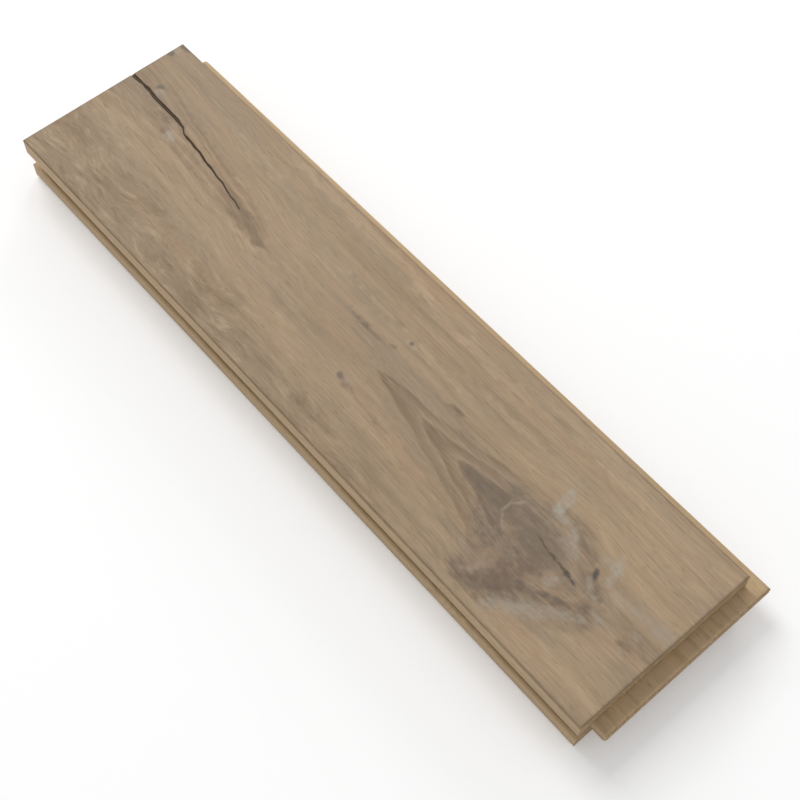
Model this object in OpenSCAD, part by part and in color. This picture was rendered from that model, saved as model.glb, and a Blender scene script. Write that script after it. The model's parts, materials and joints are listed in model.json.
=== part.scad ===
// Solid oak parquet block, tongued and grooved all round
// +X runs along the grain, +Y across it and +Z up out of the wearing face
// The origin is on the underside, below the centre of the face

/* [Block] */
// Length of the wearing face, shoulder to shoulder
face_l = 280; // [200:5:420]
// Width of the wearing face, shoulder to shoulder
face_w = 70; // [55:1:100]
// Thickness from the underside to the face
block_t = 20; // [18:0.5:24]

/* [Tongue] */
// Wood between the face and the upper wall of the groove
wear_t = 7.5; // [6:0.25:9]
// Thickness of the tongue
tongue_t = 5; // [4:0.25:6]
// Reach of the tongue past the face
tongue_l = 5.5; // [4.5:0.25:7]
// Radius of the tongue's two nose corners
nose_r = 1.25; // [0.5:0.25:1.75]

/* [Groove] */
// Room between the tongue and each wall of the groove
side_clearance = 0.15; // [0.1:0.05:0.4]
// Room between the tip of the tongue and the floor of the groove
tip_clearance = 1; // [0.5:0.25:2]
// Radius of the groove's two floor corners
floor_r = 0.75; // [0.25:0.25:1.5]
// Lead-in on both lips of the groove
lead_in = 0.6; // [0.2:0.1:1]

/* [Edges] */
// Ease on the edges of the face, kept small so that laid blocks read as one floor
arris = 0.4; // [0.2:0.1:1]
// Ease on the edges of the underside
back_arris = 1; // [0.5:0.25:2]
// Set-back of every edge below the tongue and groove, so that the face closes first
back_set = 0.5; // [0.2:0.1:1]

/* [Relief cuts] */
// Number of relief cuts in the underside, even so that a land runs down the middle
relief_count = 2; // [2:2:4]
// Width of a relief cut
relief_w = 3; // [2:0.5:4]
// Depth of a relief cut
relief_d = 2.5; // [2:0.25:4]
// Distance from one relief cut to the next
relief_pitch = 20; // [12:1:22]

/* [Hidden] */

// Heights of the groove's walls and the tongue's flanks above the underside
groove_top = block_t - wear_t;
tongue_top = groove_top - side_clearance;
tongue_bottom = tongue_top - tongue_t;
groove_bottom = tongue_bottom - side_clearance;

// Depth of the groove behind the edge of the face
groove_d = tongue_l + tip_clearance;

// Steps in the quarter turn of a rounded corner
corner_steps = 8;
quarter_turn = 90;
cut_fn = 48;

// What a cutter runs past the block on each side
overrun = tongue_l * 2;
run_l = face_l + 2 * overrun;
run_w = face_w + 2 * overrun;

oak = [0.62, 0.54, 0.455];

// Quarter of a circle about c as points, from the angle given
function corner(c, r, from, turn = quarter_turn) =
    [for (i = [0:corner_steps])
        let (a = from + turn * i / corner_steps)
        [c.x + r * cos(a), c.y + r * sin(a)]];

// Section of the block across one pair of edges, groove on the low side and tongue on the high
// side, counter-clockwise from the underside
function moulded_section(face) =
    let (
        low = -face / 2,
        high = face / 2,
        low_back = low + back_set,
        high_back = high - back_set,
        tip = high + tongue_l,
        floor = low + groove_d)
    concat(
        [[low_back + back_arris, 0], [high_back - back_arris, 0], [high_back, back_arris]],
        [[high_back, tongue_bottom]],
        corner([tip - nose_r, tongue_bottom + nose_r], nose_r, -quarter_turn),
        corner([tip - nose_r, tongue_top - nose_r], nose_r, 0),
        [[high, tongue_top], [high, block_t - arris], [high - arris, block_t]],
        [[low + arris, block_t], [low, block_t - arris]],
        [[low, groove_top + lead_in], [low + lead_in, groove_top]],
        corner([floor - floor_r, groove_top - floor_r], floor_r, quarter_turn, -quarter_turn),
        corner([floor - floor_r, groove_bottom + floor_r], floor_r, 0, -quarter_turn),
        [[low_back + lead_in, groove_bottom], [low_back, groove_bottom - lead_in]],
        [[low_back, back_arris]]);

// Stick moulded along the grain, with the long groove on -Y and the long tongue on +Y
module long_edges()
    rotate([quarter_turn, 0, quarter_turn])
        linear_extrude(run_l, center = true)
            polygon(moulded_section(face_w));

// The same section cut across the grain, with the end groove on -X and the end tongue on +X
module end_edges()
    rotate([quarter_turn, 0, 0])
        linear_extrude(run_w, center = true)
            polygon(moulded_section(face_l));

// One round-bottomed cut along the underside, which lets the block lie flat as it moves
module relief_cut() {
    straight = relief_d - relief_w / 2;
    translate([0, 0, straight])
        rotate([0, quarter_turn, 0])
            cylinder(h = run_l, d = relief_w, center = true, $fn = cut_fn);
    translate([-run_l / 2, -relief_w / 2, -overrun])
        cube([run_l, relief_w, straight + overrun]);
}

// The block is what both passes of the cutters leave, so its tongues meet in one corner and
// each groove runs out through the tongue beside it
module parquet_block()
    color(oak)
        difference() {
            intersection() {
                long_edges();
                end_edges();
            }
            for (i = [0:relief_count - 1])
                translate([0, (i - (relief_count - 1) / 2) * relief_pitch, 0])
                    relief_cut();
        }

parquet_block();
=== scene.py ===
import json
from functools import partial
from math import atan, atan2, cos, exp, hypot, pi, radians, sin, sqrt

import bmesh
import bpy
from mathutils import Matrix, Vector, noise


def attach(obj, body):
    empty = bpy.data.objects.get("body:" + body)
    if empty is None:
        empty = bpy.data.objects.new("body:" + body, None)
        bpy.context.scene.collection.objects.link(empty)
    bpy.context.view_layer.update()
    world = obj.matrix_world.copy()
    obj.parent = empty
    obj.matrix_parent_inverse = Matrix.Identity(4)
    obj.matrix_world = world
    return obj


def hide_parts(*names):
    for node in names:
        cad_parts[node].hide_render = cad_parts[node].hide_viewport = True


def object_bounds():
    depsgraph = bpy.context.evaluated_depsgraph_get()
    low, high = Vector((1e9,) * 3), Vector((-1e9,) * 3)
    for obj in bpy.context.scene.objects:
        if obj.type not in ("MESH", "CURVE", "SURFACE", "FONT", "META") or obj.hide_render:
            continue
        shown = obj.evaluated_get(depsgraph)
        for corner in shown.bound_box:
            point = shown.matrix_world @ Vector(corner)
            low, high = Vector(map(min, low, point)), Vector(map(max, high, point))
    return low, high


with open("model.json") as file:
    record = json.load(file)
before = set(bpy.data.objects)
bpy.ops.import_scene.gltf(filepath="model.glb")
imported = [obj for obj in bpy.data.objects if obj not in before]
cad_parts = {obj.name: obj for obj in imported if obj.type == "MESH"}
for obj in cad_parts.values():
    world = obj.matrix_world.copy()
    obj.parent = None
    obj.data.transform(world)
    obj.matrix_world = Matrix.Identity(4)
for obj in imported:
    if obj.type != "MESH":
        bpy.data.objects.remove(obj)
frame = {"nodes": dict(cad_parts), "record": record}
cad_low, cad_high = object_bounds()
scene = bpy.context.scene
scene.view_settings.view_transform = "Standard"


# The camera
# A plank lies flat, so the camera looks down on it, with the grain running from the upper left
# of the picture to the lower right as on the floor it comes from.
camera_lens = 64.0  # mm
camera_sensor = 36.0  # mm, across a square picture
camera_elevation = radians(60)
camera_margin = 1.06
camera_rounds = 8

length = (cad_high - cad_low).x
# This azimuth draws the long side at 45 degrees across the picture
camera_azimuth = atan(1 / sin(camera_elevation))
camera_way = Vector((
    sin(camera_azimuth) * cos(camera_elevation),
    -cos(camera_azimuth) * cos(camera_elevation),
    sin(camera_elevation),
))
camera_turn = camera_way.to_track_quat("Z", "Y")
to_the_right = camera_turn @ Vector((1, 0, 0))
upwards = camera_turn @ Vector((0, 1, 0))

# Each round centres the block's eight corners in the picture and brings the camera nearer
corners = [Vector((x, y, z)) for x in (cad_low.x, cad_high.x)
           for y in (cad_low.y, cad_high.y) for z in (cad_low.z, cad_high.z)]
middle = (cad_low + cad_high) / 2
aim = middle.copy()
camera_distance = length * 3
for turn in range(camera_rounds):
    spot = aim + camera_way * camera_distance
    away = [(spot - corner).dot(camera_way) for corner in corners]
    across = [(corner - spot).dot(to_the_right) / far for corner, far in zip(corners, away)]
    upright = [(corner - spot).dot(upwards) / far for corner, far in zip(corners, away)]
    aim += to_the_right * camera_distance * (max(across) + min(across)) / 2
    aim += upwards * camera_distance * (max(upright) + min(upright)) / 2
    widest = max(max(across) - min(across), max(upright) - min(upright))
    camera_distance *= widest * camera_margin * camera_lens / camera_sensor

camera_data = bpy.data.cameras.new("camera")
camera_data.lens = camera_lens
camera_data.sensor_width = camera_sensor
camera_data.clip_start = camera_distance / 50
camera = bpy.data.objects.new("camera", camera_data)
camera.location = aim + camera_way * camera_distance
camera.rotation_euler = camera_turn.to_euler()
scene.collection.objects.link(camera)
scene.camera = camera


# The floor
# A plain white studio floor, which the camera sees as white but for the block's soft shadow.
floor_size = length * 20
floor_white = 0.86
floor_lift = 0.16  # lifts the lit floor to white for the camera only
shadow_reach = (length * 1.2, length * 2.4)  # beyond the second the camera sees plain white

floor_mesh = bmesh.new()
bmesh.ops.create_grid(floor_mesh, x_segments=1, y_segments=1, size=floor_size / 2)
bmesh.ops.translate(floor_mesh, verts=floor_mesh.verts, vec=(0, 0, cad_low.z))
floor_data = bpy.data.meshes.new("floor")
floor_mesh.to_mesh(floor_data)
floor_mesh.free()
floor = bpy.data.objects.new("floor", floor_data)
scene.collection.objects.link(floor)


def add_node(tree, kind, inputs, output=0, **settings):
    """Adds a node, sets or links its inputs and returns one of its outputs."""
    made = tree.nodes.new(kind)
    for name, value in settings.items():
        setattr(made, name, value)
    for name, value in inputs.items():
        if isinstance(value, bpy.types.NodeSocket):
            tree.links.new(value, made.inputs[name])
        else:
            made.inputs[name].default_value = value
    return made.outputs[output]


def seen_clearly(tree):
    """1 for rays from the camera and for clear reflections and transmission, 0 for the rest."""
    rays = tree.nodes.new("ShaderNodeLightPath").outputs
    seen = rays["Is Camera Ray"]
    for ray in ("Is Glossy Ray", "Is Transmission Ray"):
        seen = add_node(tree, "ShaderNodeMath", {0: seen, 1: rays[ray]}, operation="MAXIMUM")
    return seen


floor_paint = bpy.data.materials.new("white_floor")
floor_paint.use_nodes = True
floor_tree = floor_paint.node_tree
floor_tree.nodes.remove(floor_tree.nodes["Principled BSDF"])
add = partial(add_node, floor_tree)
floor_seen = seen_clearly(floor_tree)
floor_matt = add("ShaderNodeBsdfDiffuse", {"Color": (floor_white, floor_white, floor_white, 1)})
floor_glow = add("ShaderNodeMath", {0: floor_seen, 1: floor_lift}, operation="MULTIPLY")
floor_glow = add("ShaderNodeEmission", {"Strength": floor_glow})
floor_near = add("ShaderNodeAddShader", {0: floor_matt, 1: floor_glow})
floor_far = add("ShaderNodeEmission", {})
floor_place = add("ShaderNodeTexCoord", {}, output="Object")
floor_distance = add("ShaderNodeVectorMath", {0: floor_place}, output="Value", operation="LENGTH")
floor_share = add(
    "ShaderNodeMapRange",
    {"Value": floor_distance, "From Min": shadow_reach[0], "From Max": shadow_reach[1],
     "To Max": floor_seen},
    interpolation_type="SMOOTHSTEP")
floor_surface = add("ShaderNodeMixShader", {0: floor_share, 1: floor_near, 2: floor_far})
floor_tree.links.new(floor_surface, floor_tree.nodes["Material Output"].inputs["Surface"])
floor_data.materials.append(floor_paint)


# The studio light
# One large soft box high on the left, a weaker one low behind it that rakes the grain, and an
# even white room.
room_light = 0.62  # what the room gives the block; the camera sees it as white
lamp_distance = length * 9

room = bpy.data.worlds.new("white_room")
scene.world = room
room.use_nodes = True
room_wall = room.node_tree.nodes["Background"]
room_wall.inputs["Color"].default_value = (1, 1, 1, 1)
room_level = add_node(
    room.node_tree, "ShaderNodeMapRange",
    {"Value": seen_clearly(room.node_tree), "To Min": room_light, "To Max": 1.0})
room.node_tree.links.new(room_level, room_wall.inputs["Strength"])


def soft_box(name, azimuth, elevation, side, share):
    """An area lamp aimed at the block. share is the part of full white that it gives the floor."""
    lamp = bpy.data.lights.new(name, "AREA")
    lamp.shape = "SQUARE"
    lamp.size = side
    lamp.energy = share * pi * pi * lamp_distance ** 2 / sin(elevation)
    box = bpy.data.objects.new(name, lamp)
    way = Vector((
        cos(azimuth) * cos(elevation),
        sin(azimuth) * cos(elevation),
        sin(elevation),
    ))
    box.location = middle + way * lamp_distance
    box.rotation_euler = way.to_track_quat("Z", "Y").to_euler()
    scene.collection.objects.link(box)


# Azimuths here run from +X towards +Y, as the block lies
soft_box("key_light", radians(172), radians(48), side=length * 4.6, share=0.34)
soft_box("grain_light", radians(128), radians(20), side=length * 2.4, share=0.06)


# The block
# One stick of solid rustic oak, moulded with a tongue and groove all round and relief cuts
# underneath. It starts as a copy of the moulded solid, sliced finely enough to carry the filled
# check, the knot's pits and the raised grain of a brushed face.
mm = 0.001
weld = 0.002 * mm
slice_x = 0.85 * mm
slice_y = 0.7 * mm
slice_z = 2.5 * mm
underside_slice_y = 3.2 * mm
flat_angle = radians(0.5)  # faces that turn less than this are joined before the slicing
sharp_angle = radians(28)

# The face is between the shoulders of the tongues
mounts = {mount["name"]: mount["pos_m"] for mount in frame["record"]["mounts"]}
half_l = mounts["end_tongue"][0]
half_w = mounts["long_tongue"][1]
half_l_mm = half_l / mm
half_w_mm = half_w / mm
face_z_mm = cad_high.z / mm


def between(low, high, value):
    """0 below low, 1 above high and a smooth rise between them."""
    share = min(max((value - low) / (high - low), 0.0), 1.0)
    return share * share * (3 - 2 * share)


def along(points, at):
    """The value at a place on a smooth line through given points."""
    if at <= points[0][0]:
        return points[0][1]
    for (start, first), (end, last) in zip(points, points[1:]):
        if at <= end:
            return first + (last - first) * between(start, end, at)
    return points[-1][1]


def rough(x, y, z):
    """Smooth noise between about -1 and 1, whose lumps are one unit wide."""
    return noise.noise(Vector((x, y, z)))


# The check runs in from the grooved end. From here on, places are in mm on the face, from its
# centre, and heights are in mm above the underside
check_line = [
    (-140, 12.2), (-131, 12.5), (-124, 11.8), (-113, 11.7), (-108, 11.2), (-104.5, 9.5),
    (-96, 8.8), (-88, 7.6), (-80, 6.6), (-71, 5.0), (-62, 3.4), (-46, 0.2),
]
check_half_width = [
    (-140, 0.8), (-136, 0.75), (-133.5, 0.55), (-131, 0.7), (-124, 0.75), (-112, 0.75),
    (-107.5, 0.45), (-105.5, 0.32), (-102, 0.5), (-90, 0.48), (-80, 0.36), (-70, 0.2),
    (-64, 0.0),
]
check_end_x = -58
check_depth = 0.7
check_shallows = 0.75  # share of the depth beside its lips
check_shallows_reach = 0.4  # rows of slices further out than this have that share
check_deep_half = 0.7  # half width from which it has its full depth
check_taper_z = (12.6, 19.0)  # between these it closes, down the end wall

# Rows of slices follow the check. They start as straight rows about check_row_y
check_row_y = 7.0
check_rows = (0.0, 0.26, 0.5, 0.62, 0.9, 1.5)
check_lip = 0.62  # the row on each side that lies on the check's lip
check_row_least = 0.3
check_reach = 15.0  # beyond this the slices are straight
check_follow_z = (13.0, 16.0)  # below the first the slices are straight

block = bmesh.new()
block.from_mesh(frame["nodes"]["parquet_block"].data)
bmesh.ops.remove_doubles(block, verts=block.verts, dist=weld)
bmesh.ops.dissolve_limit(
    block, angle_limit=flat_angle, verts=block.verts, edges=block.edges)


def slice_faces(faces, axis, places):
    """Cuts faces by planes across an axis, halving the work each time."""
    if not places or not faces:
        return
    half = len(places) // 2
    normal = Vector((0, 0, 0))
    normal[axis] = 1
    edges = {edge for face in faces for edge in face.edges}
    verts = {vert for face in faces for vert in face.verts}
    cut = bmesh.ops.bisect_plane(
        block, geom=[*verts, *edges, *faces], dist=weld,
        plane_co=normal * places[half], plane_no=normal)
    found = [part for part in cut["geom"] if isinstance(part, bmesh.types.BMFace)]
    below = [face for face in found if face.calc_center_median()[axis] < places[half]]
    above = [face for face in found if face.calc_center_median()[axis] >= places[half]]
    slice_faces(below, axis, places[:half])
    slice_faces(above, axis, places[half + 1:])


def even_places(low, high, step):
    """Places between two ends, about a step apart."""
    count = round((high - low) / step)
    return [low + (high - low) * i / count for i in range(1, count)]


slice_faces(block.faces[:], 0, even_places(cad_low.x, cad_high.x, slice_x))
row_low = (check_row_y - check_rows[-1]) * mm
row_high = (check_row_y + check_rows[-1]) * mm
rows = even_places(-half_w, row_low, slice_y) + even_places(row_high, half_w, slice_y)
rows += [(check_row_y + side * row) * mm for row in check_rows for side in (-1, 1)]
rows = sorted(set(round(row, 7) for row in rows))
facing_up = [face for face in block.faces if face.normal.z > -0.5]
slice_faces(facing_up, 1, rows)
facing_down = [face for face in block.faces if face.normal.z < -0.5]
slice_faces(facing_down, 1, even_places(-half_w, half_w, underside_slice_y))
slice_faces(block.faces[:], 2, even_places(cad_low.z, cad_high.z, slice_z))

# The figure of the wood. The arches' axis wanders along the face, and the pith lies some way
# below it, nearest at the check and at the knot, which is where the rings close into arches
arch_axis = [
    (-150, 12.6), (-128, 12), (-105, 9.6), (-70, 5.2), (-46, 0.4), (-12, -1), (20, -2.0),
    (55, -4.2), (100, -5.4), (118, -5.8), (150, -6.2),
]
arch_axis_level = -2.5  # the axis far from the arches, where the grain is straight
arch_axis_fade = 24.0
pith_depth = [
    (-150, 25), (-110, 27), (-70, 30), (-46, 33), (-15, 34.2), (3.5, 34.2), (26.5, 31.8),
    (46.5, 29.4), (61.5, 27.0), (78, 25.5), (90, 25.4), (108, 28), (118.5, 33), (128, 34),
    (150, 34.4),
]
arch_ring = 33.0  # radius of the ring that outlines the arches
arch_point = 0.65  # below 1 the arches end in a point
arch_above = [
    (-150, 11.5), (-120, 9), (-105, 6.8), (-92, 5.2), (-70, 5.2), (-56, 4.2), (-46, 0),
    (-15, 0), (13, 0), (20, 1.7), (33, 3.6), (55, 7.6), (68, 10), (80, 13), (90, 14.5),
    (98, 13), (106, 10), (113, 6), (118.5, 0), (150, 0),
]
arch_below = [
    (-150, 12), (-120, 9), (-103, 6.4), (-71, 5.5), (-56, 3.6), (-46, 0), (-15, 0), (13, 0),
    (20, 2.2), (33, 4.6), (49, 7.6), (62, 10.8), (71, 13.6), (79, 19), (87.5, 26), (94.5, 23),
    (101, 17.5), (109, 11), (115, 6), (118.5, 0), (150, 0),
]
arch_blend = 26.0  # beyond the arches the rings turn into flat layers over this distance
check_arch_strength = 0.45  # of the arches at the check, where those at the knot have 1
ring_width = 2.4
knot_x = 95
fibre_bulge = 5.0  # how far the knot pushes the fibres aside
fibre_bulge_length = 20.0
fibre_bulge_fade = 24.0
fibre_bulge_rise = 5.0


def figure(place):
    """Place along and across the fibres, ring, ray, and how far inside the arches."""
    x, y, z = place / mm
    below_face = face_z_mm - z
    wave = rough(x / 70, y / 22, z / 22) * 1.1
    wave += rough(x / 24 + 7, y / 9, z / 9) * 0.25
    axis = along(arch_axis, x)
    fade = exp(-(((y - axis) / arch_axis_fade) ** 2))
    off_axis = y - arch_axis_level - (axis - arch_axis_level) * fade + wave * (1 - 0.7 * fade)
    arch = along(arch_above if off_axis > 0 else arch_below, x)
    depth = along(pith_depth, x)
    rise = sqrt(max(arch_ring ** 2 - depth ** 2, 0.0))
    off = abs(off_axis)
    if off < arch:
        lateral = rise * (off / arch) ** arch_point
    else:
        lateral = rise + off - arch
    radius = hypot(lateral, depth - below_face)
    straight = hypot(off, arch_ring - below_face)
    radius += (straight - radius) * between(0, arch_blend, off - arch)
    ray = atan2(off_axis, arch_ring - below_face) * arch_ring
    ring = (radius - arch_ring) / ring_width
    ring += 0.5 * rough(radius / 7, x / 110, 3)
    bulge = fibre_bulge * exp(-(((x - knot_x) / fibre_bulge_length) ** 2))
    parted = bulge * (1 - exp(-off / fibre_bulge_rise)) * exp(-off / fibre_bulge_fade)
    across = off_axis - parted * (1 if off_axis > 0 else -1)
    inside = 1 - between(0.85, 1.1, off / arch) if arch > 0.2 else 0.0
    inside *= 1.0 if x > 0 else check_arch_strength
    return x, across, ring, ray, inside


# Below this line the grain is curly
curly_edge = [
    (-150, -9), (-110, -11), (-80, -13), (-40, -17), (0, -23), (40, -29), (70, -36), (150, -60),
]
curly_blend = (-6, 8)  # it comes in between these distances below the line

# What lies on the face, listed one by one. A line has its strength and a row of places with a
# half width; an oval has its centre, half length, half width, turn in degrees and strength
drawn_z = 18.5  # nothing is drawn below this height
pale_lines = [
    (0.85, [(86.4, 17.0, 0.5), (86.0, 13.6, 1.7), (87.2, 9.4, 2.1), (88.9, 6.0, 1.5)]),
    (0.66, [(88.6, 6.6, 1.5), (93.6, 6.4, 1.5), (97.4, 4.4, 1.4), (100.6, 1.4, 1.5),
            (103.0, -0.8, 0.8)]),
    (0.3, [(94.5, 1.0, 1.0), (98.5, 0.8, 1.8), (102.5, -0.4, 1.2)]),
    (0.75, [(112.0, 10.6, 0.5), (112.8, 7.6, 1.5), (114.0, 4.0, 1.5), (115.0, 1.6, 0.7)]),
    (0.5, [(108.8, 7.2, 0.6), (108.2, 4.6, 1.1)]),
    (0.62, [(110.2, -1.9, 0.6), (112.4, -4.3, 0.9), (115.2, -4.9, 0.7)]),
    (0.46, [(117.0, -12.2, 1.0), (113.2, -14.6, 1.4), (109.8, -17.6, 1.7), (106.4, -21.0, 2.3),
            (102.3, -23.8, 2.6), (98.2, -26.2, 2.0), (95.6, -28.8, 2.0), (94.2, -30.8, 1.0)]),
    (0.6, [(103.6, -8.8, 0.9), (102.6, -11.8, 1.4)]),
    (0.3, [(85.0, -22.6, 0.4), (84.2, -25.8, 1.2)]),
    (0.34, [(118.0, 0.4, 1.8), (128.0, 1.6, 2.6), (140.0, 2.2, 3.0)]),
    (0.5, [(118.0, -8.6, 0.6), (121.0, -8.8, 1.0), (125.0, -7.6, 0.6)]),
    (0.5, [(130.0, -3.2, 0.9), (131.4, -3.8, 0.9)]),
    (0.4, [(128.0, -10.6, 0.4), (132.0, -10.2, 0.8)]),
    (0.4, [(12.6, -12.6, 0.7), (10.4, -12.2, 0.9)]),
    (0.3, [(-136.0, 9.8, 0.3), (-122.0, 10.2, 0.4), (-107.0, 9.4, 0.3)]),
    (0.8, [(-107.8, 5.6, 1.6), (-106.9, 4.9, 1.8)]),
    (0.9, [(-126.2, 14.8, 1.0), (-125.0, 14.0, 1.4)]),
    (0.8, [(-139.6, 31.2, 1.3), (-138.0, 30.8, 1.0)]),
]
dark_lines = [
    (0.5, [(111.0, 0.8, 0.5), (113.6, -2.2, 0.8), (116.2, -4.2, 0.8)]),
    (0.72, [(116.0, -7.8, 0.7), (114.6, -10.2, 1.1), (111.6, -12.2, 1.1), (108.0, -13.8, 1.3),
            (104.6, -15.4, 1.2), (101.2, -17.4, 1.2), (97.4, -18.4, 1.5)]),
    (0.62, [(96.4, -19.0, 2.4), (93.6, -21.4, 3.0), (91.0, -25.2, 2.8), (87.4, -28.6, 2.0),
            (83.0, -29.8, 1.0)]),
    (0.45, [(92.4, 9.0, 0.5), (97.0, 7.4, 0.9), (102.0, 5.6, 1.2), (105.6, 4.2, 1.2),
            (107.6, 3.0, 0.8)]),
    (0.7, [(84.6, -17.2, 0.8), (85.2, -19.0, 0.6)]),
    (0.4, [(117.0, -6.0, 0.3), (127.0, -5.2, 0.6)]),
    (0.6, [(127.0, -5.4, 0.7), (133.0, -5.6, 0.9), (139.0, -6.8, 0.5)]),
    (0.7, [(129.0, -8.6, 0.8), (132.8, -9.0, 0.8)]),
    (1.0, [(40.4, 6.8, 0.6), (42.6, 6.9, 1.1)]),
    (0.8, [(25.4, -14.4, 0.5), (29.0, -14.6, 0.9), (33.0, -14.9, 0.5)]),
    (0.8, [(9.0, -12.8, 0.4), (20.0, -13.9, 0.2)]),
    (0.8, [(2.0, -28.4, 0.6), (15.0, -28.8, 0.8)]),
    (0.9, [(-11.0, 6.0, 0.2), (-4.0, 6.2, 0.8), (1.0, 6.1, 0.9), (8.0, 6.8, 0.3),
           (11.0, 7.1, 0.8)]),
    (0.5, [(-104.0, 3.4, 0.2), (-84.0, 2.0, 0.4), (-66.0, 0.9, 0.5), (-48.0, 0.2, 0.3)]),
    (0.7, [(-100.0, 6.4, 0.3), (-95.0, 5.9, 0.9), (-91.6, 5.2, 0.4)]),
    (0.75, [(-119.0, 9.2, 0.6), (-112.4, 8.4, 1.3), (-110.6, 5.0, 1.1)]),
    (0.45, [(-140.0, 12.4, 1.6), (-108.0, 11.2, 1.5), (-104.0, 9.4, 1.0), (-60.0, 4.0, 0.6)]),
    (0.34, [(-128.0, 19.0, 0.5), (-108.0, 16.2, 1.2), (-90.0, 12.8, 1.6), (-74.0, 10.0, 1.3),
            (-60.0, 7.6, 1.2), (-50.0, 3.8, 0.6)]),
]
knot_blots = [
    (66, -4, 12, 6, 0, 1.0), (82, -2.5, 13, 7, 0, 1.0), (92, -5, 10, 8, -12, 1.0),
    (90, -12, 12, 8, -25, 1.0), (78, -13, 13, 6, -38, 0.75), (91, -21, 9, 10, -30, 1.0),
    (85, -28, 8, 4, -10, 0.9), (104, -8, 8, 6, 0, 0.6), (110, -3, 6, 6, 0, 0.5),
    (100, 5, 9, 4, -25, 0.5), (106, -16, 10, 4.4, 35, 0.6), (114, -13, 9, 6, 38, 0.65),
    (87, 4.5, 5, 3.4, 25, 0.75),
]
knot_core_blots = [
    (69, -4.6, 12, 5.0, 0, 1.0), (75, -3.6, 7, 6.0, 0, 1.0), (88, 0.6, 10, 4.2, -8, 0.6),
    (94, -7, 8, 4, -12, 0.5),
]
brown_blots = [
    (92, -21, 5, 8.5, -30, 0.45), (86, -28.5, 6, 2.4, 0, 0.4), (94, -11, 5, 4, -20, 0.4),
    (100, 6.6, 8, 2, -22, 0.34), (115, -8, 2.2, 3.5, 0, 0.5), (131, -8.8, 3.4, 1.4, 0, 0.6),
    (42, 6.9, 2.6, 1.0, 0, 0.8), (-53, 1.6, 6, 1.8, -16, 0.62), (-62, 2.6, 15, 2.8, -7, 0.8),
    (-69, -30.6, 2.4, 2.4, 0, 0.6), (-106, -24.4, 12, 1.6, -8, 0.5),
    (-106, 3.4, 8, 2.6, -8, 0.4), (-122, 7.4, 17, 2.4, -3, 0.42), (-135, 17, 5, 3, -10, 0.3),
]
tan_blots = [
    (104, -10, 3.6, 2.6, 0, 0.7), (99, -13.5, 3.4, 2.0, 30, 0.6), (97, -3, 5, 1.4, -10, 0.3),
    (85.2, -17.5, 2.4, 3, 0, 0.8), (84.4, -22, 2.4, 4, -12, 0.9), (112, 6, 1.8, 2.6, 0, 1.0),
]
grey_blots = [
    (120, -14, 7, 5, 30, 0.7), (117, 30, 26, 2.0, -8, 1.0), (100, 24.5, 40, 1.6, -6, 0.7),
    (66, -16, 18, 4, -20, 1.0), (60, -29, 26, 3, -2, 1.0), (50, 19.4, 34, 2.2, 2, 1.0),
    (40, -9.4, 30, 4.6, -14, 1.0), (30, -22, 24, 3.0, -3, 1.0), (16, -5, 22, 2.6, -8, 0.7),
    (4, 16.2, 28, 1.6, -2, 0.8), (-10, 23.5, 25, 3.6, 0, 1.0), (-20, -8, 20, 2.0, 2, 1.0),
    (-22, 0, 26, 2.0, 0, 0.6), (-44, 24.6, 22, 1.4, -2, 0.8), (-92, -3.8, 36, 1.6, 0, 0.6),
    (-122, -5, 18, 4.5, -3, 0.6), (-126, 18, 14, 3.4, -6, 0.5), (-128, -17, 14, 6, -6, 0.8),
]
pale_blots = [
    (130, 31, 16, 2.8, -6, 1.0), (126, 22.5, 18, 3.0, -8, 0.9), (126, -27, 14, 2.8, -4, 0.9),
    (94, 30.2, 46, 3.6, -2, 1.0), (54, 17.8, 28, 1.3, 2, 0.7), (40, 26.6, 30, 1.8, 0, 1.0),
    (12, 13.6, 36, 1.3, -1, 0.9), (0, 29.2, 14, 1.5, -14, 1.0), (-45, 32, 32, 1.8, 0, 1.0),
    (-52, -1.6, 12, 1.1, 4, 1.0), (-80, 23.2, 24, 2.0, -4, 0.8), (-108, -27, 16, 2.2, -4, 0.5),
    (-124, -9.4, 18, 1.4, 0, 0.6),
]
warm_blots = [
    (124, -19, 18, 6.5, -6, 0.8), (120, 12, 26, 6.5, -4, 1.0), (118, 20, 24, 4, -6, 0.8),
    (78, 14, 20, 4.4, 4, 0.6), (40, -19, 30, 3.0, -10, 0.5), (-34, -13, 26, 4, -8, 0.6),
    (-104, -8.5, 26, 3, 0, 0.4),
]

# Holes in the knot: centre, half length, half width, turn and depth
knot_pits = [
    (109.9, 0.9, 2.0, 0.9, -62, 0.25), (104.2, -5.4, 1.7, 0.75, -14, 0.25),
    (106.8, -6.0, 1.5, 0.35, -6, 0.2),
]
brushed_depth = 0.05  # of the relief that wire brushing leaves
brushed_edge = (0.4, 3.0)  # it fades out between these distances from the face's edge


def line_depth(lines, x, y):
    """How far inside the nearest drawn line a place is, and how strong that line is."""
    depth, strength = -3.0, 0.0
    for line_strength, line in lines:
        for (x1, y1, half1), (x2, y2, half2) in zip(line, line[1:]):
            span_x, span_y = x2 - x1, y2 - y1
            share = ((x - x1) * span_x + (y - y1) * span_y) / (span_x ** 2 + span_y ** 2)
            share = min(max(share, 0.0), 1.0)
            gap = hypot(x - x1 - share * span_x, y - y1 - share * span_y)
            inside_by = half1 + share * (half2 - half1) - gap
            if inside_by > depth:
                depth, strength = inside_by, line_strength
    return depth, strength


def oval_reach(x, y, centre_x, centre_y, half_length, half_breadth, turn):
    """0 at the middle of an oval and 1 on its edge."""
    dx, dy = x - centre_x, y - centre_y
    cos_turn, sin_turn = cos(radians(turn)), sin(radians(turn))
    return hypot((dx * cos_turn + dy * sin_turn) / half_length,
                 (dy * cos_turn - dx * sin_turn) / half_breadth)


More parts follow.
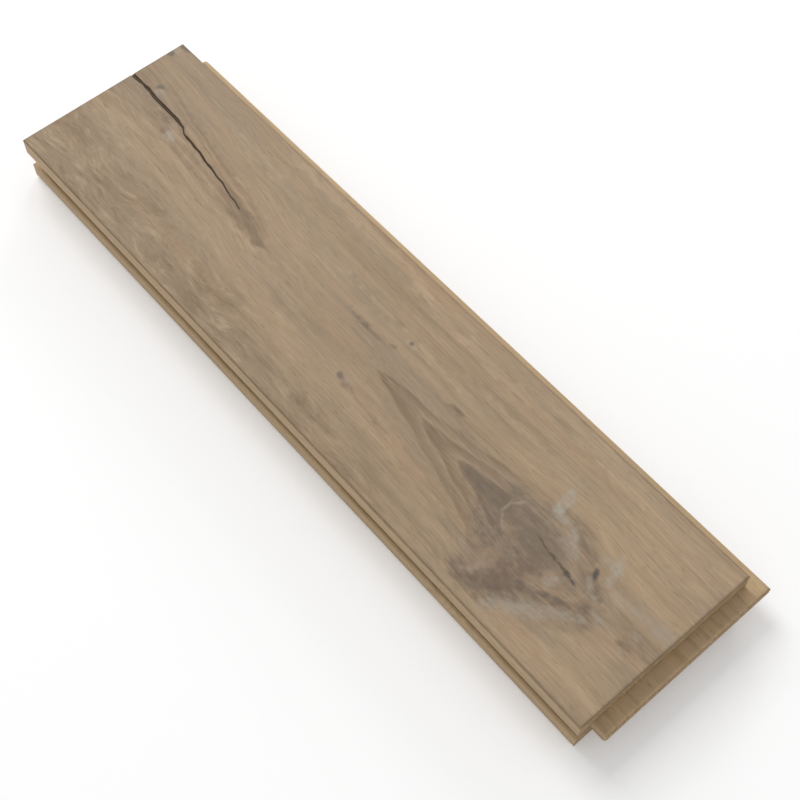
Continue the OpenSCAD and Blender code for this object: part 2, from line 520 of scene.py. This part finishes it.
def blot_depth(blots, x, y):
    """How deep a place lies in a group of soft ovals, from 0 to 1."""
    return max(strength * (1 - between(0.3, 1.7, oval_reach(x, y, *oval)))
               for *oval, strength in blots)


def beside_check(x, offset, half):
    """Where a row of slices at an offset from check_row_y goes, to follow the check."""
    rag = 0.12 * rough(x / 3.5, 5, 2) + 0.08 * rough(x / 1.3, 5, 2)
    moved = along(check_line, x) - check_row_y + rag * (1 if x < check_end_x else 0)
    spread = max(half, check_row_least)
    reach = abs(offset)
    if reach <= check_lip:
        return check_row_y + (offset * spread / check_lip + moved)
    if reach <= check_rows[-1]:
        share = (reach - check_lip) / (check_rows[-1] - check_lip)
        out = spread + share * (check_rows[-1] - spread)
        return check_row_y + (out * (1 if offset > 0 else -1) + moved)
    fade = 1 - between(check_rows[-1], check_reach, reach)
    return check_row_y + (offset + moved * fade)


figure_layer = block.verts.layers.float_vector.new("figure")
ray_layer = block.verts.layers.float.new("ray")
grain_layer = block.verts.layers.float_color.new("grain")
line_layer = block.verts.layers.float_color.new("lines")
knot_layer = block.verts.layers.float_color.new("knot")
light_layer = block.verts.layers.float_vector.new("light")
for vert in block.verts:
    x, y, z = vert.co / mm
    half = along(check_half_width, x) * (1 + 0.25 * rough(x / 2.2, 1, 1))
    top = between(*check_follow_z, z)
    offset = y - check_row_y
    y = y + (beside_check(x, offset, half) - y) * top
    vert.co.y = y * mm
    check = 0.0
    reach = abs(offset)
    if x < check_end_x and half > 0.03 and reach < check_lip - 0.01 and top > 0:
        check = between(0.0, 0.1, check_lip * between(*check_taper_z, z) - reach)
        depth = check_depth * min(half / check_deep_half, 1.0)
        depth *= 1.0 if reach < check_shallows_reach else check_shallows
        vert.co.z = min(z, face_z_mm - depth) * mm
    x, across, ring, ray, inside = figure(vert.co)
    vert[figure_layer] = Vector((x, across, ring))
    vert[ray_layer] = ray
    curly = along(curly_edge, x) - y
    curly = between(*curly_blend, curly + 5 * rough(x / 25, y / 10, 9))
    if z < drawn_z:
        vert[grain_layer] = (inside, curly, check, 0)
        vert[line_layer] = (-3, -3, 0, 0)
        continue
    # The outlines of what is drawn are torn
    torn_x = x + 3.0 * rough(x / 6, y / 4, 4) + rough(x / 2, y / 2, 4)
    torn_y = y + 2.0 * rough(x / 6, y / 4, 6) + rough(x / 2, y / 2, 6)
    pale_depth, pale_strength = line_depth(pale_lines, (x * 2 + torn_x) / 3, (y * 2 + torn_y) / 3)
    dark_depth, dark_strength = line_depth(dark_lines, x, (y * 2 + torn_y) / 3)
    vert[grain_layer] = (inside, curly, check, blot_depth(grey_blots, torn_x, torn_y))
    vert[line_layer] = (pale_depth, dark_depth, pale_strength, dark_strength)
    vert[light_layer] = Vector((
        blot_depth(pale_blots, torn_x, torn_y), blot_depth(warm_blots, torn_x, torn_y), 0))
    vert[knot_layer] = (
        blot_depth(knot_blots, torn_x, torn_y), blot_depth(knot_core_blots, torn_x, torn_y),
        blot_depth(brown_blots, torn_x, torn_y), blot_depth(tan_blots, torn_x, torn_y))
    if z > face_z_mm - 0.01 and not check:
        brushed = 1 + rough(x / 24, across / 1.7, 5)
        brushed += 0.5 * rough(x / 9, across / 0.9, 8)
        brushed = max(brushed, 0.0)
        edge = min(half_l_mm - abs(x), half_w_mm - abs(y))
        vert.co.z -= brushed_depth * brushed * between(*brushed_edge, edge) * mm
        for *oval, depth in knot_pits:
            vert.co.z -= depth * (1 - between(0.4, 1.4, oval_reach(x, y, *oval))) * mm

# The block is unwrapped for baked colours, each side of the moulding as a strip of the picture.
# The face is seen most, so it is drawn twice as wide. The strips of the two ends lie side by
# side above those of the long sides
face_stretch = 2.0
map_gap = 1.2 * mm
map_width = length + 2 * map_gap
end_columns = {"end tongue": 0, "end groove": 1}
end_ledge_column = 2

# Distances and heights that tell the sides of the moulding apart
end_wall_reach = 8.0  # the end walls lie nearer to the end shoulders than this
groove_floor_reach = 7.0  # the end groove is less deep than this
face_least_z = 19.4  # the face and its arrises lie above this
check_least_z = 18.8  # the check lies above this
relief_reach = 20.0  # the relief cuts lie nearer to the middle than this
relief_most_z = 4.0
underside_most_z = 3.0


def strip_of(face):
    """The strip that a face is drawn on, and its axes along and across the strip."""
    x, y, z = face.calc_center_median() / mm
    facing = [abs(part) for part in face.normal]
    faces_end = facing[0] > facing[1]
    side = "tongue" if (face.normal.x if faces_end else face.normal.y) > 0 else "groove"
    half = "tongue" if y > 0 else "groove"
    if facing[0] > max(facing[1:]) and abs(x) > half_l_mm - end_wall_reach:
        return f"end {side}", 1, 2
    if z > face_least_z and facing[2] > 0.5 or z > check_least_z and abs(y) < half_w_mm - 2:
        return "face", 0, 1
    if facing[1] > facing[2]:
        if abs(y) < relief_reach and z < relief_most_z:
            return f"relief in the {half} half, {side} side", 0, 2
        return f"long {side}", 0, 2
    if z < underside_most_z:
        return "underside", 0, 1
    turned = "up" if face.normal.z > 0 else "down"
    if x > half_l_mm - 1:
        return f"end tongue {turned}", 1, 0
    if x < groove_floor_reach - half_l_mm:
        return f"end groove {turned}", 1, 0
    return f"ledge of the {half} half {turned}", 0, 1


strips = {}
block.normal_update()
for face in block.faces:
    strips.setdefault(strip_of(face), []).append(face)
map_layer = block.loops.layers.uv.new("OFBake")


def lay_strip(strip, column, base):
    """Draws a strip on the map from a height up and returns where the next one starts."""
    name, along_axis, across_axis = strip
    stretch = face_stretch if name == "face" else 1.0
    lowest = min(vert.co[across_axis] for face in strips[strip] for vert in face.verts)
    left = map_gap - cad_low[along_axis] + column * map_width / 3
    highest = base
    for face in strips[strip]:
        for loop in face.loops:
            place = loop.vert.co
            height = base + (place[across_axis] - lowest) * stretch
            loop[map_layer].uv = (place[along_axis] + left, height)
            highest = max(highest, height)
    return highest + map_gap


filled = map_gap
for strip in sorted(strips):
    if strip[1] == 0:
        filled = lay_strip(strip, 0, filled)
end_filled = [filled, filled, filled]
for strip in sorted(strips):
    if strip[1] == 1:
        column = end_columns.get(strip[0], end_ledge_column)
        end_filled[column] = lay_strip(strip, column, end_filled[column])
for face in block.faces:
    for loop in face.loops:
        rightwards, height = loop[map_layer].uv
        loop[map_layer].uv = (rightwards / map_width, height / max(end_filled))

block_data = bpy.data.meshes.new("oak_block")
block.to_mesh(block_data)
block.free()
for polygon in block_data.polygons:
    polygon.use_smooth = True
block_data.set_sharp_from_angle(angle=sharp_angle)
oak_block = bpy.data.objects.new("oak_block", block_data)
scene.collection.objects.link(oak_block)

oak = bpy.data.materials.new("aged_rustic_oak")
oak.use_nodes = True
tree = oak.node_tree
surface = tree.nodes["Principled BSDF"]
add = partial(add_node, tree)


def maths(operation, first, second=0.0, **settings):
    return add("ShaderNodeMath", {0: first, 1: second}, operation=operation, **settings)


def ramp(value, low, high, start=0.0, end=1.0):
    """Maps a value from one range to another, smoothly and without going past its ends."""
    return add(
        "ShaderNodeMapRange",
        {"Value": value, "From Min": low, "From Max": high, "To Min": start, "To Max": end},
        interpolation_type="SMOOTHSTEP")


def grain_noise(place, size, detail=2.0, roughness=0.5, seed=0.0):
    """Noise with marks of about the given size in mm along, across and through the wood."""
    scaled = add(
        "ShaderNodeVectorMath",
        {0: place, 1: tuple(1 / part for part in size), 2: (seed, seed, seed)},
        operation="MULTIPLY_ADD")
    return add(
        "ShaderNodeTexNoise",
        {"Vector": scaled, "Scale": 1.0, "Detail": detail, "Roughness": roughness})


def paint(red, green, blue):
    """A colour given in 0 to 255, as the light that it stands for."""
    parts = [part / 255 for part in (red, green, blue)]
    return (*(part / 12.92 if part < 0.04045 else ((part + 0.055) / 1.055) ** 2.4
              for part in parts), 1.0)


def mix(share, first, second, blend="MIX"):
    """Lays the second colour over the first."""
    mixed = add("ShaderNodeMix", {}, output=2, data_type="RGBA", blend_type=blend)
    for socket, value in zip((0, 6, 7), (share, first, second)):
        if isinstance(value, bpy.types.NodeSocket):
            tree.links.new(value, mixed.node.inputs[socket])
        else:
            mixed.node.inputs[socket].default_value = value
    return mixed


def parts_of(value):
    """The three parts of a vector."""
    split = tree.nodes.new("ShaderNodeSeparateXYZ")
    tree.links.new(value, split.inputs[0])
    return split.outputs[0], split.outputs[1], split.outputs[2]


def attribute(name, output):
    return add("ShaderNodeAttribute", {}, output=output, attribute_name=name)


where = add("ShaderNodeTexCoord", {}, output="Object")
where_mm = add("ShaderNodeVectorMath", {0: where, 1: (1000, 1000, 1000)}, operation="MULTIPLY")
x_mm, y_mm, z_mm = parts_of(where_mm)
lengthwise, crosswise, ring = parts_of(attribute("figure", "Vector"))
arches, curly, check = parts_of(attribute("grain", "Color"))
grey_share = attribute("grain", "Alpha")
pale_line, dark_line, pale_strength = parts_of(attribute("lines", "Color"))
dark_strength = attribute("lines", "Alpha")
pale_share, warm_share = parts_of(attribute("light", "Vector"))[:2]
knot, knot_core, brown_share = parts_of(attribute("knot", "Color"))
tan_share = attribute("knot", "Alpha")
ray = attribute("ray", "Fac")
fibre = add("ShaderNodeCombineXYZ", {0: lengthwise, 1: crosswise, 2: z_mm})

# Broad tones, then streaks
tan = paint(168, 145, 117)
grey = paint(154, 135, 112)
pink = paint(176, 148, 118)
pale = paint(182, 160, 130)
brown = paint(139, 117, 92)
tone = grain_noise(fibre, (120, 11, 11), 3.0, 0.5)
colour = mix(ramp(tone, 0.36, 0.62), grey, tan)
tone = grain_noise(fibre, (90, 7, 7), 3.0, 0.5, seed=11.3)
colour = mix(ramp(tone, 0.46, 0.68, 0.0, 0.7), colour, pink)
tone = grain_noise(fibre, (55, 2.6, 2.6), 3.0, 0.55, seed=23.1)
colour = mix(ramp(tone, 0.52, 0.78, 0.0, 0.5), colour, pale)
tone = grain_noise(fibre, (45, 2.0, 2.0), 4.0, 0.6, seed=31.7)
colour = mix(ramp(tone, 0.52, 0.8, 0.0, 0.45), colour, brown)
feather = grain_noise(fibre, (8, 0.9, 0.9), 3.0, 0.55, seed=81.0)
feather = ramp(feather, 0.25, 0.75, -0.3, 0.3)


def feathered(share, most):
    """A stain whose edge runs out along the fibres."""
    uneven = maths("MULTIPLY", share, maths("MULTIPLY", feather, 1.4))
    return ramp(maths("ADD", share, uneven), 0.06, 0.95, 0.0, most)


colour = mix(feathered(grey_share, 0.42), colour, paint(146, 127, 103))
colour = mix(feathered(pale_share, 0.5), colour, paint(187, 163, 134))
colour = mix(feathered(warm_share, 0.5), colour, paint(184, 158, 126))

# Growth rings: each darkens slowly and ends in a thin pale line
jitter = grain_noise(fibre, (26, 1.4, 1.4), 3.0, 0.6, seed=5.5)
jitter = maths("MULTIPLY", ramp(jitter, 0.3, 0.7, -0.09, 0.09), maths("SUBTRACT", 1.15, arches))
ring_jittered = maths("ADD", ring, jitter)
phase = maths("FRACT", ring_jittered)
ring_shade = add("ShaderNodeValToRGB", {"Fac": phase})
bands = ring_shade.node.color_ramp
bands.elements[0].position = 0.0
bands.elements[0].color = (1, 1, 1, 1)
bands.elements[1].position = 1.0
bands.elements[1].color = (0.8, 0.8, 0.8, 1)
for at, level in ((0.1, 0.84), (0.28, 0.58), (0.56, 0.24), (0.76, 0.03), (0.88, 0.24)):
    band = bands.elements.new(at)
    band.color = (level, level, level, 1)
strength = grain_noise(fibre, (70, 7, 7), 2.0, seed=41.0)
strength = ramp(strength, 0.35, 0.65, 0.06, 0.32)
strength = maths("ADD", strength, maths("MULTIPLY", arches, ramp(x_mm, 62, 84, 0.56, 0.1)),
                 use_clamp=True)
colour = mix(strength, colour, mix(ring_shade, paint(196, 190, 182), paint(255, 255, 255)),
             "MULTIPLY")

# Rays: fine pale flecks, which run out from the pith on the end grain. Then single fibres
ray_place = add("ShaderNodeCombineXYZ", {0: lengthwise, 1: ray, 2: ring})
rays = grain_noise(ray_place, (9, 0.45, 2.2), 2.0, 0.5, seed=61.0)
colour = mix(ramp(rays, 0.57, 0.72, 0.0, 0.3), colour, paint(186, 168, 142))
fibres = grain_noise(fibre, (16, 0.5, 0.5), 3.0, 0.65, seed=2.2)
colour = mix(ramp(fibres, 0.3, 0.66, 0.24, 0.0), colour, paint(110, 91, 72))

# The tongues, grooves and underside are bare, and paler than the aged face. On the end grain
# each ring starts with a dark band of open pores, and the rays show as fine pale lines
bare = mix(0.5, colour, paint(206, 178, 136))
bare = mix(ramp(phase, 0.55, 1.0, 0.0, 0.35), bare, paint(214, 200, 182), "MULTIPLY")
normal_x = parts_of(add("ShaderNodeNewGeometry", {}, output="True Normal"))[0]
end_grain = ramp(maths("ABSOLUTE", normal_x), 0.6, 0.8)
bare = mix(maths("MULTIPLY", end_grain, 0.8), bare, paint(206, 192, 174), "MULTIPLY")
end_pores = maths("MULTIPLY", ramp(phase, 0.6, 0.95), maths("MULTIPLY", end_grain, 0.5))
bare = mix(end_pores, bare, paint(150, 120, 84))
end_rays = maths("MULTIPLY", ramp(rays, 0.52, 0.66), maths("MULTIPLY", end_grain, 0.45))
bare = mix(end_rays, bare, paint(208, 184, 146))

# Curly grain: wavy streaks, painted pale and dark as the sheen and shade that wavy fibres show
# in the light, over a curly part that is darker as a whole
sway = grain_noise(fibre, (44, 14, 14), 2.0, 0.5, seed=47.0)
swayed = maths("ADD", crosswise, ramp(sway, 0.2, 0.8, -3.4, 3.4))
wavy_fibre = add("ShaderNodeCombineXYZ", {0: lengthwise, 1: swayed, 2: z_mm})
ripple = grain_noise(wavy_fibre, (10.0, 1.9, 1.9), 3.0, 0.62, seed=51.0)
colour = mix(maths("MULTIPLY", curly, 0.42), colour, paint(136, 116, 91))
shaded_streak = maths("MULTIPLY", ramp(ripple, 0.48, 0.7), curly)
sheen_streak = maths("MULTIPLY", ramp(ripple, 0.47, 0.3), curly)
# painted shade and painted sheen of the wavy fibres, stripe by stripe
colour = mix(maths("MULTIPLY", shaded_streak, 0.72), colour, paint(126, 106, 82))
colour = mix(maths("MULTIPLY", sheen_streak, 0.55), colour, paint(178, 158, 130))

# The knot's grey stain, its dark core inside the last arch, and its mottled torn grain
inner_arch = maths("ADD", ring_jittered, maths("MULTIPLY", feather, 0.3))
inner_arch = ramp(inner_arch, ramp(x_mm, 58, 82, -2.4, -3.6), -1.95, 1.0, 0.0)
streaky = grain_noise(fibre, (18, 2.4, 2.4), 3.0, 0.55, seed=85.0)
cloudy = grain_noise(fibre, (8, 4.5, 4.5), 3.0, 0.6, seed=87.0)
knot_stain = feathered(knot, 1.0)
stain = maths("MULTIPLY", knot_stain, ramp(streaky, 0.3, 0.7, 0.84, 1.0))
stain = maths("MULTIPLY", stain, ramp(cloudy, 0.34, 0.56, 0.66, 1.06))
within = ramp(maths("ADD", inner_arch, ramp(x_mm, 62, 76)), 0.0, 1.0, 0.2, 1.0)
stain = maths("MULTIPLY", stain, within)
colour = mix(maths("MULTIPLY", stain, 0.45), colour, paint(148, 131, 112))
colour = mix(stain, colour, paint(206, 208, 213), "MULTIPLY")
core = maths("MULTIPLY", feathered(knot_core, 0.6), ramp(streaky, 0.3, 0.62, 0.55, 1.0))
core = maths("MULTIPLY", core, ramp(x_mm, 54, 70, 0.3, 1.0))
colour = mix(maths("MULTIPLY", inner_arch, core), colour, paint(100, 91, 78))
fleck = grain_noise(where_mm, (2.6, 1.9, 2.4), 3.0, 0.6, seed=91.0)
flecked = maths("MULTIPLY", knot_stain, ramp(y_mm, -5, -14, 0.3, 1.0))
dark_fleck = maths("MULTIPLY", ramp(fleck, 0.46, 0.7, 0.0, 0.5), flecked)
colour = mix(dark_fleck, colour, paint(110, 86, 64))
light_fleck = maths("MULTIPLY", ramp(fleck, 0.5, 0.3, 0.0, 0.34), flecked)
colour = mix(light_fleck, colour, paint(172, 145, 114))
colour = mix(feathered(brown_share, 0.6), colour, paint(118, 97, 75))
colour = mix(feathered(tan_share, 0.5), colour, paint(160, 138, 112))

# Pale smears and dark seams, both patchy and with torn edges
torn = grain_noise(fibre, (3.4, 1.7, 2.0), 3.0, 0.5, seed=71.0)
torn = ramp(torn, 0.25, 0.75, -0.7, 0.7)
patchy = grain_noise(where_mm, (3.2, 2.4, 3), 2.0, 0.5, seed=75.0)
smear = ramp(maths("ADD", pale_line, maths("MULTIPLY", torn, 1.5)), -1.3, 1.7)
smear = maths("MULTIPLY", smear, ramp(patchy, 0.34, 0.6, 0.42, 0.94))
colour = mix(maths("MULTIPLY", smear, pale_strength), colour, paint(166, 159, 146))
seam = ramp(maths("SUBTRACT", dark_line, torn), -1.1, 1.1)
seam = maths("MULTIPLY", seam, ramp(patchy, 0.62, 0.38, 0.3, 0.72))
colour = mix(maths("MULTIPLY", seam, dark_strength), colour, paint(98, 84, 71))

# Small marks in and about the knot: centre, half length, half width and turn
knot_arcs = [
    (78.2, 0.2, 2.2, 0.45, 50), (76.4, -3.6, 2.4, 0.6, 94), (79.0, -8.0, 2.8, 0.45, -44),
]
knot_bits = [
    (97.0, -18.2, 1.6, 0.8, -20), (104.0, -15.2, 1.8, 0.8, 32), (108.4, -13.2, 1.8, 0.7, 24),
    (116.4, -4.2, 0.9, 0.7, 20),
]
knot_cracks = [
    (92.4, -3.8, 2.6, 0.34, -14), (97.2, -4.7, 2.4, 0.42, -6), (101.2, -5.0, 2.2, 0.42, -4),
]
pin_knots = [
    (14.0, 12.8, 0.85, 0.8, 0), (7.7, -12.5, 1.25, 1.0, -30), (-128.0, 16.2, 1.5, 1.0, 20),
    (-139.2, 28.8, 1.8, 1.2, 0), (-137.5, 34.2, 2.6, 1.0, 0),
]
mark_depth = 5.0  # how far the marks reach down into the wood

push = add("ShaderNodeTexNoise", {"Vector": where_mm, "Scale": 0.5, "Detail": 3.0}, output="Color")
push = add("ShaderNodeVectorMath", {0: push, 1: (0.5, 0.5, 0.5)}, operation="SUBTRACT")
torn_place = add("ShaderNodeVectorMath", {0: push, 1: (1.8, 1.8, 1.8), 2: where_mm},
                 operation="MULTIPLY_ADD")


def ovals(places, rim):
    """One mask for a group of torn ovals, soft for the given share of their size."""
    found = None
    for x, y, half_length, half_breadth, turn in places:
        local = add("ShaderNodeMapping", {
            "Vector": torn_place, "Location": (x, y, face_z_mm), "Rotation": (0, 0, radians(turn)),
            "Scale": (half_length, half_breadth, mark_depth)}, vector_type="TEXTURE")
        reach = add("ShaderNodeVectorMath", {0: local}, output="Value", operation="LENGTH")
        mask = ramp(reach, 1 - rim, 1 + rim, 1.0, 0.0)
        found = mask if found is None else maths("MAXIMUM", found, mask)
    return found


arcs = ovals(knot_arcs, rim=0.8)
colour = mix(maths("MULTIPLY", arcs, 0.44), colour, paint(168, 150, 128))
bits = ovals(knot_bits, rim=0.7)
colour = mix(maths("MULTIPLY", bits, 0.5), colour, paint(88, 80, 76))
cracks = ovals(knot_cracks, rim=0.7)
colour = mix(maths("MULTIPLY", cracks, 0.7), colour, paint(76, 66, 46))
holes = ovals([pit[:5] for pit in knot_pits], rim=0.6)
# The holes are painted dark, as the shade deep inside them; the pits cut into the face are shallow
colour = mix(maths("MULTIPLY", holes, 0.9), colour, paint(80, 73, 69))
pins = ovals(pin_knots, rim=0.5)
colour = mix(maths("MULTIPLY", pins, 0.7), colour, paint(98, 90, 84))

# Open pores: short dark dashes, thickest where each ring starts
pores = grain_noise(fibre, (4.0, 0.24, 0.24), 1.0, 0.5, seed=9.1)
pores = ramp(maths("SUBTRACT", pores, ramp(phase, 0.0, 0.5, 0.0, 0.06)), 0.6, 0.68)
colour = mix(maths("MULTIPLY", pores, 0.36), colour, paint(96, 80, 63))
bare = mix(maths("MULTIPLY", pores, 0.4), bare, paint(112, 92, 68))

# Painted shade of the eased arrises, with dirt from handling, darkens the edge of the face,
# and dark filler lies in the check
rim_x = maths("SUBTRACT", maths("ABSOLUTE", x_mm), half_l_mm)
rim_y = maths("SUBTRACT", maths("ABSOLUTE", y_mm), half_w_mm)
rim = maths("ADD", maths("MAXIMUM", rim_x, rim_y), maths("MULTIPLY", torn, 0.3))
# painted shade of the eased arrises, mixed with dirt, over the last mm or so of the face
colour = mix(ramp(rim, -1.3, 0.0, 0.0, 0.5), colour, paint(112, 90, 66))
finished = ramp(maths("ADD", z_mm, maths("MULTIPLY", torn, 0.25)), 18.7, 19.5)
finished = maths("MAXIMUM", finished, maths("MULTIPLY", check, 4.0, use_clamp=True))
colour = mix(finished, bare, colour)
colour = mix(ramp(check, 0.2, 0.7), colour, paint(66, 51, 30))

# Fibres, pores and holes are felt in the surface, and the moulder's knives have left fine
# ripples on the bare wood
knife_pitch = 1.7
height_map = maths("SUBTRACT", maths("MULTIPLY", fibres, 0.6), pores)
height_map = maths("SUBTRACT", height_map, maths("MULTIPLY", holes, 2.0))
knife_marks = maths("SINE", maths("MULTIPLY", x_mm, 2 * pi / knife_pitch))
knife_share = maths("MULTIPLY", maths("SUBTRACT", 1.0, finished), 0.1)
height_map = maths("ADD", height_map, maths("MULTIPLY", knife_marks, knife_share))
bump = add("ShaderNodeBump", {"Height": height_map, "Strength": 0.35, "Distance": 0.1 * mm})

tree.links.new(colour, surface.inputs["Base Color"])
tree.links.new(ramp(fibres, 0.3, 0.7, 0.68, 0.54), surface.inputs["Roughness"])
tree.links.new(bump, surface.inputs["Normal"])
surface.inputs["Specular IOR Level"].default_value = 0.3
block_data.materials.append(oak)

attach(oak_block, "root")
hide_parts("parquet_block")
